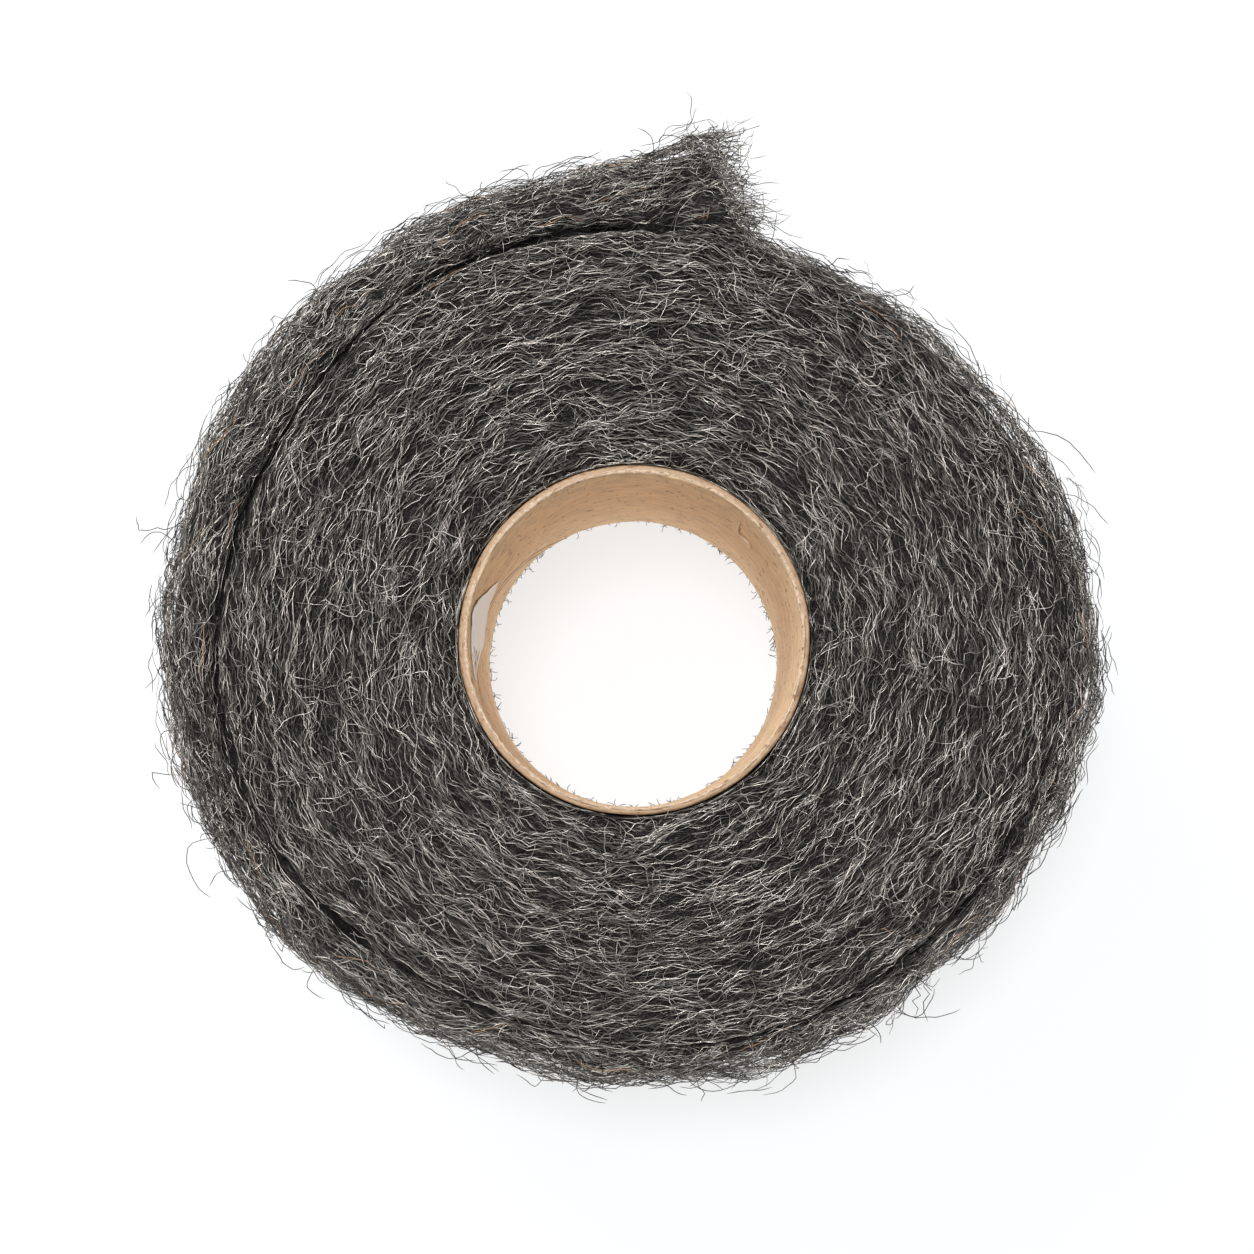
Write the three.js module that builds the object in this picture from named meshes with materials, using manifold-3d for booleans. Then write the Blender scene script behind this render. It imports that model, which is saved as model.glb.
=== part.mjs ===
// A roll of steel wool lying on its end: one long fleece of steel fibres wound round a
// paperboard core, with its loose end on the outside and a scrap of clear tape stuck inside
// the core. Millimetres, +Z up, the origin at the middle of the base.

import * as THREE from 'three';
import { mergeVertices } from 'three/addons/utils/BufferGeometryUtils.js';
import Module from 'manifold-3d';

const wasm = await Module();
wasm.setup();

// ---------------------------------------------------------------- driving dimensions

const ROLL_HEIGHT = 75; // the width of the fleece
const FIT_GAP = 0.3; // left between pieces that touch

const CORE_BORE_RADIUS = 25.4; // a two-inch core
const CORE_WALL = 1.3;
const CORE_EDGE_ROUND = 0.3; // the cut paper edges are slightly rounded
const CORE_STEPS = 64; // straight steps round the core

const WOOL_STEPS = 126; // straight steps round the roll
const WOOL_RIM_ROUND = 4; // the wool is soft, so its outer rims are rounded
const WOOL_RIM_STEPS = 3;
const WOOL_HOLE_ROUND = 1.2; // and so are the rims of the hole that holds the core

// Radius of the roll at angles counter-clockwise from +X, from the corner of the loose end
// round to the notch beside it. The fleece lies tighter at the front, so the roll is out of
// round there.
const WOOL_OUTLINE = [
  [79.5, 76.2], [90, 72.8], [104, 71.3], [150, 71.4], [190, 71.7], [222, 69.6], [250, 66.8],
  [285, 67.5], [330, 69.3], [356, 70.7], [380, 68.2], [402, 65], [424, 63.5], [433.5, 64.4],
];
const LOOSE_END_STEPS = 3; // along the frayed face of the loose end, back to its corner

// The outer turn is seen on both end faces as a seam that follows the outline: its distance
// in from the outline, and its depth, fading out towards the front right.
const SEAM_INSET = [
  [79.5, 11.5], [92, 8.6], [104, 7.6], [150, 8.6], [200, 7.8], [235, 7], [250, 6.4],
  [295, 5], [330, 4.6], [356, 5.2], [380, 5.2], [402, 5.2], [424, 5.2], [433.5, 5.2],
];
const SEAM_DEPTH = [
  [79.5, 2.5], [90, 4], [200, 4], [250, 3], [290, 3], [340, 2], [380, 0.3], [433.5, 0.3],
];
const SEAM_HALF_WIDTH = 0.9;

const TAPE_THICKNESS = 0.2;
// The scrap of tape as seen from inside the core, looking towards -X: [y, z] corners.
const TAPE_OUTLINE = [
  [10.6, 39], [4.1, 72.4], [0.1, 70.6], [-2.8, 69.8], [-7.2, 71.6], [-1.6, 42], [-0.4, 35.3],
  [3.6, 33.8],
];

// ---------------------------------------------------------------- helpers

// A solid of three.js geometry for cutting: its corners merged, and nothing but positions.
function toSolid(geometry) {
  const bare = geometry.clone();
  bare.deleteAttribute('normal');
  bare.deleteAttribute('uv');
  const merged = mergeVertices(bare, 1e-4);
  return new wasm.Manifold(new wasm.Mesh({
    numProp: 3,
    vertProperties: new Float32Array(merged.attributes.position.array),
    triVerts: new Uint32Array(merged.index.array),
  }));
}

function toGeometry(solid) {
  const { vertProperties, triVerts } = solid.getMesh();
  const geometry = new THREE.BufferGeometry();
  geometry.setAttribute('position', new THREE.BufferAttribute(vertProperties, 3));
  geometry.setIndex(new THREE.BufferAttribute(triVerts, 1));
  geometry.computeVertexNormals();
  return geometry;
}

// A ring turned about the core's axis from a closed profile of [radius, height] points,
// anticlockwise with the radius to the right and the height up.
function turned(profile, steps) {
  const points = [...profile, profile[0]].map(([radius, z]) => new THREE.Vector2(radius, z));
  return new THREE.LatheGeometry(points, steps).rotateX(Math.PI / 2);
}

// The smooth curve through [angle, value] pairs, read at any angle between the first and
// the last of them.
function smoothThrough(pairs) {
  const curve = new THREE.SplineCurve(pairs.map(([angle, value]) => new THREE.Vector2(angle, value)));
  const fine = curve.getPoints(pairs.length * 16);
  return (angle) => {
    const next = Math.max(1, fine.findIndex((point) => point.x >= angle));
    const share = (angle - fine[next - 1].x) / (fine[next].x - fine[next - 1].x);
    return THREE.MathUtils.lerp(fine[next - 1].y, fine[next].y, Math.min(share, 1));
  };
}

function named(name, geometry, colour, roughness, metalness) {
  const material = new THREE.MeshStandardMaterial({ color: colour, roughness, metalness });
  const mesh = new THREE.Mesh(geometry, material);
  mesh.name = name;
  return mesh;
}

// ---------------------------------------------------------------- the wool

// One radial section of the wool, as [radius, height] points: in along the bottom, up the
// hole, out along the top over the seam, and down the rounded outside.
function woolSection(outer, seam, depth) {
  const hole = CORE_BORE_RADIUS + CORE_WALL + FIT_GAP;
  const quarter = (centre, sign) => Array.from({ length: WOOL_RIM_STEPS + 1 }, (_, k) => {
    const turn = (sign * Math.PI / 2) * (1 - k / WOOL_RIM_STEPS);
    const z = centre + WOOL_RIM_ROUND * Math.sin(turn);
    return [outer - WOOL_RIM_ROUND * (1 - Math.cos(turn)), z];
  });
  const seamAt = (face, inwards) => [
    [seam - SEAM_HALF_WIDTH, face],
    [seam, face + inwards * depth],
    [seam + SEAM_HALF_WIDTH, face],
  ];
  return [
    ...quarter(WOOL_RIM_ROUND, -1),
    ...quarter(ROLL_HEIGHT - WOOL_RIM_ROUND, 1).reverse(),
    ...seamAt(ROLL_HEIGHT, -1).reverse(),
    [hole + WOOL_HOLE_ROUND, ROLL_HEIGHT],
    [hole, ROLL_HEIGHT - WOOL_HOLE_ROUND],
    [hole, WOOL_HOLE_ROUND],
    [hole + WOOL_HOLE_ROUND, 0],
    ...seamAt(0, 1),
  ];
}

// The wool is a turned ring whose every radial section is then moved to its own angle and
// given its own radii, so that the outside follows the outline.
function woolRoll() {
  const radiusAt = smoothThrough(WOOL_OUTLINE);
  const insetAt = smoothThrough(SEAM_INSET);
  const depthAt = smoothThrough(SEAM_DEPTH);
  const [corner] = WOOL_OUTLINE;
  const notch = WOOL_OUTLINE[WOOL_OUTLINE.length - 1];
  const roundSteps = WOOL_STEPS - LOOSE_END_STEPS;

  const placeOf = (column) => {
    if (column <= roundSteps) {
      const angle = THREE.MathUtils.lerp(corner[0], notch[0], column / roundSteps);
      return { angle, outer: radiusAt(angle), inset: insetAt(angle), depth: depthAt(angle) };
    }
    const share = (column - roundSteps) / LOOSE_END_STEPS;
    const outer = THREE.MathUtils.lerp(notch[1], corner[1], share);
    const seam = THREE.MathUtils.lerp(
      notch[1] - insetAt(notch[0]), corner[1] - insetAt(corner[0]), share);
    return {
      angle: THREE.MathUtils.lerp(notch[0], corner[0] + 360, share),
      outer,
      inset: outer - seam,
      depth: THREE.MathUtils.lerp(depthAt(notch[0]), depthAt(corner[0]), share),
    };
  };

  const pointsPerColumn = woolSection(1, 1, 1).length + 1;
  const ring = turned(woolSection(corner[1], corner[1] - 6, 1), WOOL_STEPS);
  const position = ring.attributes.position;
  for (let column = 0; column <= WOOL_STEPS; column += 1) {
    const { angle, outer, inset, depth } = placeOf(column % WOOL_STEPS);
    const section = woolSection(outer, outer - inset, depth);
    for (let k = 0; k < pointsPerColumn; k += 1) {
      const [radius, z] = section[k % section.length];
      const turn = THREE.MathUtils.degToRad(angle);
      position.setXYZ(
        column * pointsPerColumn + k, radius * Math.cos(turn), radius * Math.sin(turn), z);
    }
  }
  ring.computeVertexNormals();
  return named('wool_roll', ring, 0x5b5753, 0.55, 0.8);
}

// ---------------------------------------------------------------- the core and the tape

function coreTube() {
  const inner = CORE_BORE_RADIUS;
  const outer = CORE_BORE_RADIUS + CORE_WALL;
  const round = CORE_EDGE_ROUND;
  const tube = turned([
    [inner + round, 0], [outer - round, 0], [outer, round], [outer, ROLL_HEIGHT - round],
    [outer - round, ROLL_HEIGHT], [inner + round, ROLL_HEIGHT],
    [inner, ROLL_HEIGHT - round], [inner, round],
  ], CORE_STEPS);
  return named('core_tube', tube, 0xb08a66, 0.9, 0);
}

// The tape is the part of a thin ring inside the core that lies within its outline.
function tapePatch() {
  const outer = CORE_BORE_RADIUS - FIT_GAP;
  const inner = outer - TAPE_THICKNESS;
  const lining = turned([[inner, 0], [outer, 0], [outer, ROLL_HEIGHT], [inner, ROLL_HEIGHT]], CORE_STEPS);
  const outline = new THREE.Shape(TAPE_OUTLINE.map(([y, z]) => new THREE.Vector2(-y, z)));
  const cutter = new THREE.ExtrudeGeometry(outline, { depth: CORE_BORE_RADIUS, bevelEnabled: false });
  cutter.rotateX(Math.PI / 2).rotateZ(-Math.PI / 2);
  const patch = toSolid(lining).intersect(toSolid(cutter));
  return named('tape_patch', toGeometry(patch), 0xe4e0dc, 0.3, 0);
}

// ---------------------------------------------------------------- the roll

const roll = new THREE.Group();
roll.add(woolRoll(), coreTube(), tapePatch());

// The loose end stands out at the back, so the core's axis lies a little in front of the
// middle of the base.
const middle = new THREE.Box3().setFromObject(roll).getCenter(new THREE.Vector3());
roll.position.set(-middle.x, -middle.y, 0);

export default roll;
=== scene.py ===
"""A roll of steel wool lying on its end on a white floor, seen from above.

The fleece is a dark body of packed fibres, painted near-black as the shade deep in the
fleece, under thousands of separate steel fibres, which follow its turns in small bundles,
cross them, curl, and stand out as stray hairs. The core is a tube of kraft paperboard with a
scrap of clear tape stuck inside.
"""
import math

import bpy
import mathutils
import numpy as np
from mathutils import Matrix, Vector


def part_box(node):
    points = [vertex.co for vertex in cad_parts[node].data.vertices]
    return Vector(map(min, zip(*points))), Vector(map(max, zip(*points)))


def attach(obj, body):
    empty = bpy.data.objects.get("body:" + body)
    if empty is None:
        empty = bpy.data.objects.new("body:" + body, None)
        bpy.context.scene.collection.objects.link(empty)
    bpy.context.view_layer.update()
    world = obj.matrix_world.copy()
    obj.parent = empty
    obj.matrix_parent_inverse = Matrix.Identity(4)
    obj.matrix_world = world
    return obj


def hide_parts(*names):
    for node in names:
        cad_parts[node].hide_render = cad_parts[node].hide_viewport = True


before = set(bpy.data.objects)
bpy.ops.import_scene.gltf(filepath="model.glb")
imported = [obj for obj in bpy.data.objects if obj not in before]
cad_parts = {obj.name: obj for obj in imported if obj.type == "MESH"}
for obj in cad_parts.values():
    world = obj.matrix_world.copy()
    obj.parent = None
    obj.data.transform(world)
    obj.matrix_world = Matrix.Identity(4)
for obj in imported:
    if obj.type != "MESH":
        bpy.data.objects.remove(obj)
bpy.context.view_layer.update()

# ---------------------------------------------------------------- sizes, in millimetres
# Everything is worked out about the core's axis, and goes into the frame at the end.

MM = 0.001
core_low, core_high = (np.array(corner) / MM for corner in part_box("core_tube"))
AXIS_X, AXIS_Y = (core_low + core_high)[:2] / 2
HEIGHT = core_high[2]
CORE_OUTER = (core_high[0] - core_low[0]) / 2
CORE_WALL = 1.3
CORE_INNER = CORE_OUTER - CORE_WALL
HOLE = CORE_OUTER + 0.15  # the fleece lies against the core

# Where the loose fibres thin out, as (degrees from +X, radius), from the corner of the
# loose end round to the notch beside it.
OUTLINE = np.array([
    (83.4, 79.4), (86, 77.8), (88.5, 76.2), (91, 74.9), (97, 73.7), (104, 73.0), (130, 72.8),
    (150, 72.2), (162, 72.8), (182, 71.4), (200, 71.5), (215, 70.4), (230, 68.6),
    (242, 68.3), (256, 66.0), (270, 67.2), (290, 67.2), (330, 69.3), (345, 70.6),
    (355, 71.4), (363, 71.0), (380, 69.2), (392, 67.3), (400, 65.9), (412, 65.6),
    (424, 65.1), (436.6, 65.8)])
# The seam under the outer turn, from the notch round the end faces.
SEAM = np.array([
    (74.5, 65.3), (82, 64.2), (100, 63.7), (125, 63.6), (150, 62.4), (175, 63.4),
    (192, 63.9), (215, 63.1), (235, 61.2), (250, 60.5), (272, 61.5), (295, 63.0),
    (320, 64.2), (340, 65.1), (355, 66.2), (375, 65.6), (434.5, 61.0)])
SEAM_DEPTH = np.array([
    (74.5, 2.5), (82, 4.0), (100, 3.8), (115, 2.2), (131, 3.0), (150, 2.0), (165, 2.4),
    (175, 3.5), (195, 3.5), (205, 2.6), (215, 3.6), (240, 3.6), (255, 2.2), (270, 0.9),
    (290, 2.0), (300, 2.8), (335, 2.8), (350, 1.7), (370, 0.4), (434.5, 0.2)])
END_ANGLE, NOTCH_ANGLE = OUTLINE[0, 0], OUTLINE[-1, 0]

RIM = 4.0  # radius of the fleece's rounded rims
TURN_PITCH = 4.3  # thickness of one turn of fleece, as its faint ripple shows
BODY_INSET = 1.2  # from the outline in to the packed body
FLOOR_GAP = 0.12  # the lowest that the middle of a fibre lies
HAIR_REACH = 9.0  # the furthest that a stray hair stands out
WHOLE_WAVE = 6.3  # radians, for a wave that starts anywhere
THICK, FINE, THIN = (0.12, 0.165), (0.10, 0.145), (0.08, 0.12)  # widths of fibres


# ---------------------------------------------------------------- small tools


def smooth_through(pairs, x):
    """The smooth curve through (x, y) pairs: a cubic between each two, with at each pair the
    slope from its neighbours, and straight on past both ends."""
    xs, ys = pairs[:, 0], pairs[:, 1]
    slopes = np.gradient(ys, xs)
    k = np.clip(np.searchsorted(xs, x) - 1, 0, len(xs) - 2)
    gap = xs[k + 1] - xs[k]
    t = np.clip((x - xs[k]) / gap, 0, 1)
    cubic = ((1 + 2 * t) * (1 - t) ** 2 * ys[k] + t * (1 - t) ** 2 * gap * slopes[k]
             + t * t * (3 - 2 * t) * ys[k + 1] - t * t * (1 - t) * gap * slopes[k + 1])
    before = np.minimum(x - xs[0], 0) * slopes[0]
    after = np.maximum(x - xs[-1], 0) * slopes[-1]
    return cubic + before + after


def lumps(a, b, seed, size, count=24):
    """Soft random relief of about unit height: the sum of waves of random direction and
    phase, whose lengths spread about the given size."""
    rng = np.random.default_rng(seed)
    total = np.zeros(np.broadcast(a, b).shape)
    for _ in range(count):
        way, phase = rng.uniform(0, 2 * np.pi, 2)
        wave = 2 * np.pi / (size * rng.uniform(0.6, 1.8))
        total += np.sin(wave * (a * np.cos(way) + b * np.sin(way)) + phase)
    return total / math.sqrt(count / 2)


def around(turn, radius, z):
    """Points from degrees round the core's axis, radius and height."""
    angle = np.radians(turn)
    return np.stack(np.broadcast_arrays(radius * np.cos(angle), radius * np.sin(angle), z), -1)


def flat_place(turn, radius):
    """x and y from degrees round the core's axis and radius."""
    return radius * np.cos(np.radians(turn)), radius * np.sin(np.radians(turn))


def mesh_piece(name, points, faces, material):
    """A new smooth-shaded object from points in millimetres about the core's axis and rows
    of corners."""
    points = (points.reshape(-1, 3) + (AXIS_X, AXIS_Y, 0)) * MM
    mesh = bpy.data.meshes.new(name)
    corners = faces.shape[1]
    mesh.vertices.add(len(points))
    mesh.vertices.foreach_set("co", points.astype(np.float32).ravel())
    mesh.loops.add(faces.size)
    mesh.loops.foreach_set("vertex_index", faces.astype(np.int32).ravel())
    mesh.polygons.add(len(faces))
    mesh.polygons.foreach_set("loop_start", np.arange(0, faces.size, corners, dtype=np.int32))
    mesh.polygons.foreach_set("use_smooth", np.ones(len(faces), bool))
    mesh.update(calc_edges=True)
    mesh.validate()
    mesh.materials.append(material)
    piece = bpy.data.objects.new(name, mesh)
    bpy.context.scene.collection.objects.link(piece)
    return piece


def lay_out(piece, places):
    """The bake's own UV map of a piece, from a place for each vertex."""
    layer = piece.data.uv_layers.new(name="OFBake")
    corners = np.empty(len(piece.data.loops), np.int32)
    piece.data.loops.foreach_get("vertex_index", corners)
    layer.uv.foreach_set("vector", places.reshape(-1, 2)[corners].astype(np.float32).ravel())


def lay_out_grid(piece, rows, columns):
    """The bake's map of a grid: each vertex in the middle of its own cell."""
    across, down = np.meshgrid((np.arange(columns) + 0.5) / columns, (np.arange(rows) + 0.5) / rows)
    lay_out(piece, np.stack([across, down], -1))


def grid_faces(rows, columns, wrap_rows=True, wrap_columns=True):
    """Corners of the four-sided faces of a grid, which may close on itself either way."""
    row, column = np.meshgrid(np.arange(rows if wrap_rows else rows - 1),
                              np.arange(columns if wrap_columns else columns - 1), indexing="ij")
    below, right = (row + 1) % rows, (column + 1) % columns
    return np.stack([row * columns + column, below * columns + column,
                     below * columns + right, row * columns + right], -1).reshape(-1, 4)


# ---------------------------------------------------------------- the fleece's surface


def before_notch(turn):
    """The same direction, with what lies past the notch told as before the loose end."""
    return np.where(turn > NOTCH_ANGLE, turn - 360, turn)


def seam_depth(turn):
    """Depth of the seam by angle: it opens and closes in soft random steps."""
    return np.maximum(smooth_through(SEAM_DEPTH, turn), 0) * np.clip(
        1.0 + 0.4 * lumps(turn, 0.0, 9, 6), 0.4, 1.4)


def valleys(turn, radius):
    """Depths of the two narrow valleys in the end faces, each a bell across its middle: the
    seam under the outer turn, and the dip against the core."""
    turn = before_notch(turn)
    seam = seam_depth(turn) * np.exp(-((radius - smooth_through(SEAM, turn)) / 0.85) ** 2)
    return seam, 1.6 * np.exp(-((radius - HOLE) / 1.0) ** 2)


def relief(turn, radius, seam_share=1.0):
    """How far the end faces sink, by angle and radius: the two valleys, of which fibres may
    bridge the seam by taking only a share of it, and a faint ripple with the turns, all of
    it lumpy."""
    opening, dip = valleys(turn, radius)
    turn = before_notch(turn)
    seam = smooth_through(SEAM, turn)
    turn_share = (turn - END_ANGLE) / 360
    ripple = 0.22 * (1 + np.cos(2 * np.pi * ((seam - radius) / TURN_PITCH - turn_share)))
    ripple = ripple * (radius < seam)
    x, y = flat_place(turn, radius)
    uneven = 0.3 * lumps(x, y, 3, 22) + 0.16 * lumps(x, y, 4, 7)
    return seam_share * opening + ripple + dip + 0.3 - uneven * np.clip((radius - HOLE) / 6, 0, 1)


def side_bulge(turn, radius, z):
    """How far the side stands out, in soft lumps."""
    return 0.5 * lumps(radius * np.radians(turn), z, 8, 26)


def parted(rng, turn, radius):
    """Radii of fibre points with the seam kept open. Each fibre stays on its own side: its
    distance d from the seam, or 0 where it would cross, goes to the square root of d squared
    plus g squared, with g the half gap. One fibre in six lies across it all the same."""
    turn = before_notch(turn)
    seam = smooth_through(SEAM, turn)
    gap = rng.uniform(0.10, 0.30, (len(turn), 1)) * seam_depth(turn)
    away = radius - seam
    side = np.where(away.mean(1, keepdims=True) < 0, -1, 1)
    kept = seam + side * np.hypot(np.maximum(side * away, 0), gap)
    return np.where(rng.random((len(turn), 1)) < 1 / 6, radius, kept)


def on_fleece(turn, along, lift, seam_share=1.0):
    """Where a fibre of the outer turn lies, and which way is out. Along is the distance
    down the radial section: 0 is the middle of the upper rim, less is in over the upper
    face, and more goes down the side, round the lower rim and in under the lower face.
    Lift is the distance out from the surface. Gives radius, height and the outward way."""
    outer = smooth_through(OUTLINE, turn)
    quarter = RIM * np.pi / 2
    side = HEIGHT - 2 * RIM
    over = np.maximum(-along - quarter / 2, 0)
    first = np.clip((along + quarter / 2) / RIM, 0, np.pi / 2)
    down = np.clip(along - quarter / 2, 0, side)
    second = np.clip((along - quarter / 2 - side) / RIM, 0, np.pi / 2)
    under = np.maximum(along - 1.5 * quarter - side, 0)
    lean = first + second
    out_r, out_z = np.sin(lean), np.cos(lean)
    r = outer - RIM - over - under + RIM * out_r
    z = HEIGHT - RIM - down + RIM * out_z
    flat = np.clip((np.abs(out_z) - 0.55) / 0.45, 0, 1)
    sink = relief(turn, r, seam_share) * flat
    bulge = side_bulge(turn, outer, z) * (1 - flat)
    return r + out_r * (lift + bulge), z + out_z * (lift - sink), out_r, out_z


SECTION = HEIGHT - 2 * RIM + RIM * np.pi / 2  # from the middle of the upper rim to the lower's


# ---------------------------------------------------------------- materials


def new_material(name):
    """A new material, its node tree and its shader."""
    material = bpy.data.materials.new(name)
    material.use_nodes = True
    return material, material.node_tree, material.node_tree.nodes["Principled BSDF"]


def add(tree, kind, label, **inputs):
    """A new node with its sockets set by name."""
    node = tree.nodes.new(kind)
    node.label = label
    for key, value in inputs.items():
        node.inputs[key.replace("_", " ")].default_value = value
    return node


def maths(tree, operation, label, *values):
    """A Math node: each value is a number or an output to link."""
    node = tree.nodes.new("ShaderNodeMath")
    node.operation, node.label = operation, label
    for socket, value in zip(node.inputs, values):
        if isinstance(value, (int, float)):
            socket.default_value = value
        else:
            tree.links.new(value, socket)
    return node.outputs[0]


def between(tree, label, source, low, high, smooth=True):
    """0 where the source is at low, 1 where it is at high, and held past both."""
    node = tree.nodes.new("ShaderNodeMapRange")
    node.label = label
    node.interpolation_type = "SMOOTHSTEP" if smooth else "LINEAR"
    node.inputs["From Min"].default_value = min(low, high)
    node.inputs["From Max"].default_value = max(low, high)
    node.inputs["To Min"].default_value = float(low > high)
    node.inputs["To Max"].default_value = float(low < high)
    tree.links.new(source, node.inputs["Value"])
    return node.outputs["Result"]


def ramp(tree, label, source, stops):
    """A colour ramp of (place, colour) stops, read by a number."""
    node = tree.nodes.new("ShaderNodeValToRGB")
    node.label = label
    elements = node.color_ramp.elements
    while len(elements) < len(stops):
        elements.new(0.5)
    for element, (place, colour) in zip(elements, stops):
        element.position, element.color = place, (*colour, 1)
    tree.links.new(source, node.inputs["Fac"])
    return node.outputs["Color"]


def mixed(tree, label, share, base, over):
    """Two colours mixed by a share: each is an output or a plain colour."""
    node = tree.nodes.new("ShaderNodeMix")
    node.data_type, node.label = "RGBA", label
    tree.links.new(share, node.inputs["Factor"])
    for socket, colour in ((node.inputs[6], base), (node.inputs[7], over)):
        if isinstance(colour, tuple):
            socket.default_value = (*colour, 1)
        else:
            tree.links.new(colour, socket)
    return node.outputs[2]


def noise(tree, label, vector, scale, detail, distortion=0.0):
    """Soft noise at a scale, from 0 to 1."""
    node = add(tree, "ShaderNodeTexNoise", label, Scale=scale, Detail=detail,
               Roughness=0.5, Distortion=distortion)
    tree.links.new(vector, node.inputs["Vector"])
    return node.outputs["Fac"]


def bumped(tree, shader, label, height, strength, distance):
    """Raises the surface by a number, up to a distance in metres."""
    bump = add(tree, "ShaderNodeBump", label, Strength=strength, Distance=distance)
    tree.links.new(height, bump.inputs["Height"])
    tree.links.new(bump.outputs["Normal"], shader.inputs["Normal"])


def about_axis(tree):
    """Object coordinates with the core's axis as their middle: x, y, z and the radius."""
    place = tree.nodes.new("ShaderNodeTexCoord")
    centred = add(tree, "ShaderNodeMapping", "about the core's axis",
                  Location=(-AXIS_X * MM, -AXIS_Y * MM, 0))
    tree.links.new(place.outputs["Object"], centred.inputs["Vector"])
    parts = tree.nodes.new("ShaderNodeSeparateXYZ")
    tree.links.new(centred.outputs["Vector"], parts.inputs["Vector"])
    x, y, z = parts.outputs
    squares = maths(tree, "ADD", "x squared plus y squared",
                    maths(tree, "MULTIPLY", "x squared", x, x),
                    maths(tree, "MULTIPLY", "y squared", y, y))
    return x, y, z, maths(tree, "SQRT", "radius", squares)


WOOL_MIDDLE, BORE_WALL = 50.0, 25.0  # radii at which patches have their stated length


def turn_patches(tree, length, width, at=WOOL_MIDDLE):
    """Coordinates that follow the turns of the roll: the direction from the core's axis,
    in patches of the given length at the given radius, and the distance outwards and down,
    in patches of the given width. All in millimetres."""
    x, y, z, radius = about_axis(tree)
    unit = [maths(tree, "MULTIPLY", "round the roll",
                  maths(tree, "DIVIDE", "direction", part, radius), at / length)
            for part in (x, y)]
    across = maths(tree, "MULTIPLY", "across the turns",
                   maths(tree, "SUBTRACT", "outwards and down", radius, z), 1 / (MM * width))
    joined = tree.nodes.new("ShaderNodeCombineXYZ")
    for output, socket in zip((*unit, across), joined.inputs):
        tree.links.new(output, socket)
    return joined.outputs["Vector"]


def patchy(tree, label, length, width, detail, at=WOOL_MIDDLE, distortion=0.0):
    """Noise in patches that follow the turns of the roll."""
    return noise(tree, label, turn_patches(tree, length, width, at), 1.0, detail, distortion)


def hair_lines(tree, length, width, thin, bend):
    """Fine curved lines like packed fibres: where a noise stretched along the turns crosses
    its middle value, within thin of it, is 1, and the rest falls to 0."""
    field = patchy(tree, "fibre noise", length, width, 1.0, distortion=bend)
    away = maths(tree, "ABSOLUTE", "distance from the line",
                 maths(tree, "SUBTRACT", "about the middle", field, 0.5))
    return between(tree, "thin lines", away, thin, 0.0)


def packed_wool():
    """Packed steel fibres seen between the loose ones: near-black gaps, which are painted shade
    deep in the fleece, under a net of fine grey lines that follow the turns, in bands of lighter
    and darker fleece. The end faces take a darker ramp than the side, and the valleys go
    near-black, all of it painted shade."""
    material, tree, shader = new_material("packed_wool")
    lines = hair_lines(tree, 3.4, 0.5, 0.07, 0.5)
    for share, length, width, thin, bend in ((0.9, 1.9, 0.62, 0.06, 0.9),
                                             (0.75, 0.95, 0.8, 0.045, 1.3)):
        more = hair_lines(tree, length, width, thin, bend)
        lines = maths(tree, "MAXIMUM", "either line", lines,
                      maths(tree, "MULTIPLY", "weaker lines", more, share))
    bands = patchy(tree, "bands of fleece", 20.0, 2.6, 3.0)
    tone = maths(tree, "MULTIPLY", "lines by band", lines,
                 maths(tree, "MULTIPLY_ADD", "band strength", bands, 1.5, 0.1))
    # Painted shade: the near-black of the gaps stands for the shade deep between packed fibres.
    colour = ramp(tree, "gap to fibre", tone, [
        (0.0, (0.004, 0.0037, 0.0034)), (0.4, (0.026, 0.024, 0.022)), (1.0, (0.12, 0.111, 0.100))])
    height = about_axis(tree)[2]
    away = maths(tree, "MINIMUM", "away from the end faces",
                 between(tree, "upper face", height, (HEIGHT - 2) * MM, (HEIGHT - 7) * MM),
                 between(tree, "lower face", height, 1 * MM, 4 * MM))
    # Painted shade: the end faces take the darker ramp above, and the side this paler copy.
    side = ramp(tree, "gap to fibre, side", tone, [
        (0.0, (0.012, 0.011, 0.010)), (0.4, (0.11, 0.102, 0.093)), (1.0, (0.48, 0.448, 0.408))])
    colour = mixed(tree, "paler side", away, colour, side)
    # Painted shade: the fleece goes near-black in the seam under the outer turn and in the dip against the
    # core, by a shade attribute of the body.
    painted_valley_shade = tree.nodes.new("ShaderNodeAttribute")
    painted_valley_shade.attribute_name = "painted_valley_shade"
    colour = mixed(tree, "painted shade in the valleys", painted_valley_shade.outputs["Fac"], colour, (0.003, 0.0028, 0.0026))
    tree.links.new(colour, shader.inputs["Base Color"])
    rough = maths(tree, "MULTIPLY_ADD", "gaps are rougher", tone, -0.35, 0.85)
    tree.links.new(rough, shader.inputs["Roughness"])
    shader.inputs["Metallic"].default_value = 0.5
    bumped(tree, shader, "raised fibres", tone, 1.0, 0.0003)
    return material


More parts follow.
